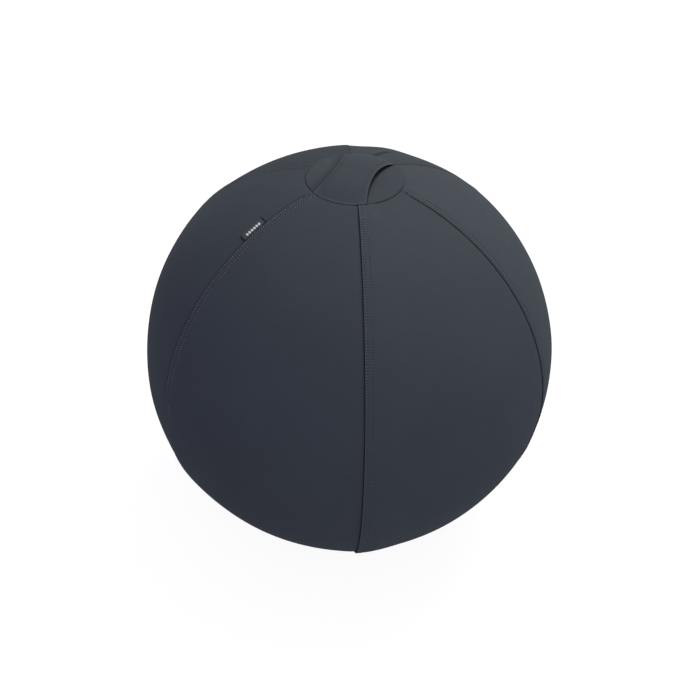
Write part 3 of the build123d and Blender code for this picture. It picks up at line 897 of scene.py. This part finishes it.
def painted_hole_shade(tree):
    """Factor of painted shade at the needle holes between stitches, by the cloth's place beside their rows.
    """
    across = mark_value(tree, "row_across")
    along = mark_value(tree, "row_along")
    side = calc(tree, "MINIMUM", apart(tree, across, ROW_NEAR), apart(tree, across, ROW_FAR))
    step = calc(tree, "MULTIPLY", calc(tree, "PINGPONG", along, STITCH_PITCH / 2), HOLE_ROUND)
    side_square = calc(tree, "MULTIPLY", side, side)
    step_square = calc(tree, "MULTIPLY", step, step)
    away = calc(tree, "SQRT", calc(tree, "ADD", side_square, step_square))
    return ramp(tree, away, HOLE_DARK * HOLE, HOLE, HOLE_SHADE)


def cover_fabric():
    """Anthracite knit: mottled, with painted shade in its grooves, beside folds, on the top disc and at the
    needle holes, and lighter along folds and edges, partly as painted highlight.
    """
    material, tree, shader = new_material("cover_fabric", 0.95, Sheen_Weight=0.02, Specular_IOR_Level=0.05)
    mottle = group_value(tree, MOTTLE, Vector=object_place(tree), Scale=9.0, Amount=0.16)
    knit = group_value(tree, KNIT, Vector=chart_place(tree), Rib=0.9 * MM, Loop=0.75 * MM)
    # painted shade, darker in the knit's grooves
    shade = calc(tree, "MULTIPLY_ADD", knit, KNIT_SWING, KNIT_BASE)
    wear_and_painted_light_factor = calc(tree, "MULTIPLY_ADD", mark_value(tree, "wear_and_painted_light"), PAINTED_LIGHT_GAIN, 1.0)
    # painted shade beside the folds and on the top disc, beaded with the stitches
    turn = calc(tree, "MULTIPLY", mark_value(tree, "row_along"), 2 * math.pi / STITCH_PITCH)
    bead = calc(tree, "MULTIPLY_ADD", calc(tree, "COSINE", turn), PAINTED_SHADE_BEAD * PAINTED_FOLD_SHADE, PAINTED_FOLD_SHADE)
    shadow = calc(tree, "SUBTRACT", 1.0, calc(tree, "MULTIPLY", mark_value(tree, "painted_shade"), bead))
    factor = painted_hole_shade(tree)
    for share in (mottle, shade, wear_and_painted_light_factor, shadow, calc(tree, "ADD", mark_value(tree, "tone_and_painted_light"), 1.0)):
        factor = calc(tree, "MULTIPLY", factor, share)
    tinted(tree, shader, COVER_TINT, factor)
    bumped(tree, shader, knit, distance=KNIT_DEPTH, strength=0.6)
    return material


def sewing_thread(name, tint):
    """Twisted thread: fine slanting ridges along the stitch, and random stretches darkened with painted
    shade, as if they lay deeper.
    """
    material, tree, shader = new_material(name, 0.75, Specular_IOR_Level=0.2)
    place = object_place(tree)
    mottle = group_value(tree, MOTTLE, Vector=place, Scale=160.0, Amount=0.9)
    stretch = group_value(tree, MOTTLE, Vector=place, Scale=16.0, Amount=1.6)
    tinted(tree, shader, tint, calc(tree, "MULTIPLY", mottle, stretch))
    twist = add(tree, "ShaderNodeTexWave", {"Vector": place, "Scale": 900.0, "Distortion": 1.5})
    bumped(tree, shader, twist.outputs["Fac"], distance=0.1 * MM, strength=0.5)
    return material


def label_cloth():
    """Dark satin weave, black with painted shade along its ends and near edge, and a row of plain pale
    diamonds along its middle.
    """
    material, tree, shader = new_material("label_cloth", 0.7, Specular_IOR_Level=0.08)
    place = chart_place(tree)
    split = add(tree, "ShaderNodeSeparateXYZ", {0: place})
    pitch, half_long, half_wide = 4.4 * MM, 13.2 * MM, 3.2 * MM  # of the diamonds and their row
    taper, soft = 2.15, 0.06  # of a diamond along the row, and of its edge
    swing, base = 0.35, 0.75  # of the weave's painted shade, darker in its grooves
    shade_black_to, faded, black = 1.0 * MM, 2.3 * MM, 0.06  # of the painted shade at its ends and near edge: black to here, gone by here, and its darkest
    cell = calc(tree, "FRACT", calc(tree, "DIVIDE", split.outputs["X"], pitch))
    away = calc(tree, "MULTIPLY", apart(tree, cell, 0.5), taper)
    up = apart(tree, split.outputs["Y"], LABEL_WIDE / 2)
    inside = calc(tree, "SUBTRACT", 1.0, calc(tree, "ADD", away, calc(tree, "DIVIDE", up, half_wide)))
    diamond = ramp(tree, inside, -soft, soft)
    side = calc(tree, "ABSOLUTE", split.outputs["X"])
    span = calc(tree, "LESS_THAN", side, half_long)
    mark = calc(tree, "MULTIPLY", diamond, span)
    weave = group_value(tree, KNIT, Vector=place, Rib=0.45 * MM, Loop=0.3 * MM)
    shade = calc(tree, "MULTIPLY_ADD", weave, swing, base)
    rim = calc(tree, "MINIMUM", calc(tree, "SUBTRACT", LABEL_LONG / 2, side), split.outputs["Y"])
    with_painted_edge_shade = calc(tree, "MULTIPLY", shade, ramp(tree, rim, shade_black_to, faded, black))
    ground = scaled(tree, (74, 81, 84), with_painted_edge_shade)
    pale = scaled(tree, (238, 240, 241), shade)
    mix = add(tree, "ShaderNodeMix", {0: mark, 6: ground, 7: pale}, data_type="RGBA")
    tree.links.new(mix.outputs[2], shader.inputs["Base Color"])
    bumped(tree, shader, weave, distance=0.1 * MM, strength=0.6)
    return material


def finish(nodes, name, tint, roughness, scale, amount, depth, **constants):
    """Give hidden pieces a finish: mottled colour with a fine grain pressed into it."""
    finer = 30  # scale of the grain, against the mottle's
    material, tree, shader = new_material(name, roughness, **constants)
    place = object_place(tree)
    mottle = group_value(tree, MOTTLE, Vector=place, Scale=scale, Amount=amount)
    tinted(tree, shader, tint, mottle)
    grain = add(tree, "ShaderNodeTexNoise", {"Vector": place, "Scale": scale * finer, "Detail": 4.0})
    bumped(tree, shader, grain.outputs[0], distance=depth, strength=0.5)
    for node in nodes:
        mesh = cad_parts[node].data
        mesh.materials.clear()
        mesh.materials.append(material)


fabric = cover_fabric()
seam_thread = sewing_thread("seam_thread", (134, 138, 144))
zip_thread = sewing_thread("zip_thread", (130, 134, 140))
back_thread = sewing_thread("back_thread", (94, 98, 105))
hem_thread = sewing_thread("hem_thread", (64, 70, 77))

# Cover panels with their topstitch
row_threads = [zip_thread] + 4 * [back_thread] + [seam_thread]
for number in range(PANELS):
    points, chart, marks = cover_panel(number)
    faces = cell_faces(*points.shape[:2], False).tolist()
    panel = thicken(new_piece(f"panel_cloth_{number + 1}", points, faces, fabric, chart, marks))
    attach(panel, "ball")
    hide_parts(f"cover_panel_{number + 1}")
    rows = seam_stitches(number, row_threads[number])
    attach(rows, "ball")
tacks = zip_tacks(back_thread)
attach(tacks, "ball")

# Top and base discs
for name, base in (("top", False), ("base", True)):
    points, chart = disc_grid(base)
    rows, columns = points.shape[:2]
    faces = disc_faces(rows, columns)
    flat_points = np.concatenate([points[0, :1], points[1:].reshape(-1, 3)])
    flat_chart = np.concatenate([chart[0, :1], chart[1:].reshape(-1, 2)])
    marks = None
    if base:
        faces = [face[::-1] for face in faces]
    else:
        x, y = flat_points[:, 0], flat_points[:, 1]
        puff = disc_puff(np.hypot(x, y), np.arctan2(x, -y))
        # painted shade round the top disc's rim and beside the strap, and painted light on its pillow
        marks = {"painted_shade": painted_disc_shade(flat_points), "tone_and_painted_light": PUFF_PAINTED_LIGHT / PUFF_RISE * puff}
    disc = thicken(new_piece(f"disc_cloth_{name}", flat_points, faces, fabric, flat_chart, marks))
    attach(disc, "ball")
    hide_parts(f"{name}_disc")

# Carry strap, in two halves that stay sewn at the seam and rise in the middle
for name, side in (("front", -1), ("back", 1)):
    points, chart, wear_and_painted_light = strap_half(side)
    faces = strap_faces(len(points))
    if side > 0:
        faces = [face[::-1] for face in faces]
    half = new_piece(f"strap_{name}", points, faces, fabric, chart, {"wear_and_painted_light": wear_and_painted_light})
    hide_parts("carry_handle")
    hem = strap_stitches(name, side, hem_thread)
    for piece in (half, hem):
        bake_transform(piece)

# Label
points, chart = label_grid()
rows, columns = points.shape[:2]
faces = cell_faces(rows, columns, True)[:, ::-1].tolist()
faces += [list(range(columns)), list(range(rows * columns - 1, (rows - 1) * columns - 1, -1))]
label = new_piece("label_tag", points, faces, label_cloth(), chart)
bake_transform(label)
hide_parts("side_label")

# Finishes of the hidden pieces: tint, roughness, the mottle's scale and amount, and the grain's depth
finish(["bladder"], "bladder_vinyl", (96, 104, 112), 0.45, 12.0, 0.2, 0.05 * MM)
finish(["valve_plug"], "plug_plastic", (214, 216, 214), 0.4, 60.0, 0.06, 0.03 * MM)
finish(["ballast_sand"], "ballast_grains", (178, 158, 124), 0.95, 220.0, 0.8, 0.6 * MM)
tapes = ["zip_tape_left", "zip_tape_right"]
finish(tapes, "zip_tape_cloth", (44, 48, 53), 0.85, 90.0, 0.25, 0.1 * MM, Sheen_Weight=0.2)
teeth = ["zip_teeth_left", "zip_teeth_right"]
finish(teeth, "zip_teeth_nylon", (34, 37, 41), 0.5, 150.0, 0.1, 0.02 * MM)
metal = ["zip_top_stops", "zip_bottom_stop", "zip_slider", "zip_pull"]
finish(metal, "zip_metal", (48, 50, 53), 0.4, 120.0, 0.15, 0.02 * MM)


def seen_share(tree):
    """Socket that is 1 for what the camera sees, straight or by way of gloss or glass."""
    path = add(tree, "ShaderNodeLightPath")
    seen = calc(tree, "MAXIMUM", path.outputs["Is Camera Ray"], path.outputs["Is Glossy Ray"])
    return calc(tree, "MAXIMUM", seen, path.outputs["Is Transmission Ray"])


def bare_tree(owner):
    """Emptied node tree of a material or a world."""
    owner.use_nodes = True
    owner.node_tree.nodes.clear()
    return owner.node_tree


def studio_floor():
    """Wide pale floor: white to the camera but for the ball's shadow, mid grey in the light it returns."""
    reach, level, whiteness = 12.0, -0.3 * MM, 0.75
    corners = reach * np.array([[-1, -1, 0], [1, -1, 0], [1, 1, 0], [-1, 1, 0]])
    corners[:, 2] = level
    material = bpy.data.materials.new("studio_floor")
    tree = bare_tree(material)
    seen = seen_share(tree)
    shadowed = add(tree, "ShaderNodeBsdfDiffuse", {"Color": (0.9, 0.9, 0.9, 1)})
    white = add(tree, "ShaderNodeEmission", {"Color": (1, 1, 1, 1), "Strength": 1.21})
    shown = add(tree, "ShaderNodeMixShader", {0: whiteness, 1: shadowed.outputs[0], 2: white.outputs[0]})
    returned = add(tree, "ShaderNodeBsdfDiffuse", {"Color": (0.48, 0.48, 0.52, 1)})
    mixed = add(tree, "ShaderNodeMixShader", {0: seen, 1: returned.outputs[0], 2: shown.outputs[0]})
    add(tree, "ShaderNodeOutputMaterial", {"Surface": mixed.outputs[0]})
    floor = new_piece("floor", corners, [(0, 1, 2, 3)], material)


def studio_world():
    """Even cool light from all round, white where the camera looks past the floor."""
    world = bpy.data.worlds.new("studio")
    bpy.context.scene.world = world
    tree = bare_tree(world)
    seen = seen_share(tree)
    light = add(tree, "ShaderNodeBackground", {"Color": (0.97, 0.95, 1.16, 1), "Strength": 0.48})
    white = add(tree, "ShaderNodeBackground", {"Color": (1, 1, 1, 1), "Strength": 1.0})
    mixed = add(tree, "ShaderNodeMixShader", {0: seen, 1: light.outputs[0], 2: white.outputs[0]})
    add(tree, "ShaderNodeOutputWorld", {"Surface": mixed.outputs[0]})


def studio_lamp(name, azimuth, elevation, distance, size, power, tint):
    """Square soft lamp that faces the ball's centre."""
    lamp = bpy.data.lights.new(name, "AREA")
    lamp.size = size
    lamp.energy = power
    lamp.color = tint
    place = unit(np.array(math.radians(90 - elevation)), np.array(math.radians(azimuth)))
    stand = bpy.data.objects.new(name, lamp)
    stand.location = CENTRE + place * distance
    stand.rotation_euler = (math.radians(90 - elevation), 0, math.radians(azimuth))
    bpy.context.scene.collection.objects.link(stand)


def photo_camera():
    """Camera at the photograph's viewing angle, aimed at the ball's centre and rolled a little."""
    photo_wide = 700  # pixels
    azimuth, elevation, roll = math.radians(19.9), math.radians(39.7), math.radians(1.9)
    distance = 5.2 * BALL
    back = unit(np.array(math.pi / 2 - elevation), np.array(azimuth))
    level = np.array([math.cos(azimuth), math.sin(azimuth), 0.0])
    upright = np.cross(back, level)
    right = level * math.cos(roll) + upright * math.sin(roll)
    up = np.cross(back, right)
    lens = bpy.data.cameras.new("photo_camera")
    lens.sensor_width = 36
    lens.lens = 53.28
    lens.shift_x = 0.65 / photo_wide
    lens.shift_y = -1.8 / photo_wide
    camera = bpy.data.objects.new("photo_camera", lens)
    turned = np.eye(4)
    turned[:3, :3] = np.stack([right, up, back], axis=1)
    turned[:3, 3] = CENTRE + back * distance
    camera.matrix_world = Matrix(turned.tolist())
    bpy.context.scene.collection.objects.link(camera)
    bpy.context.scene.camera = camera


studio_floor()
studio_world()
studio_lamp("key", 158, 64, 2.2, 1.3, 22.5, (1.0, 1.0, 0.78))
studio_lamp("fill", 52, 24, 2.6, 1.3, 8.2, (1.0, 1.0, 0.85))
photo_camera()
bpy.context.scene.view_settings.view_transform = "Standard"
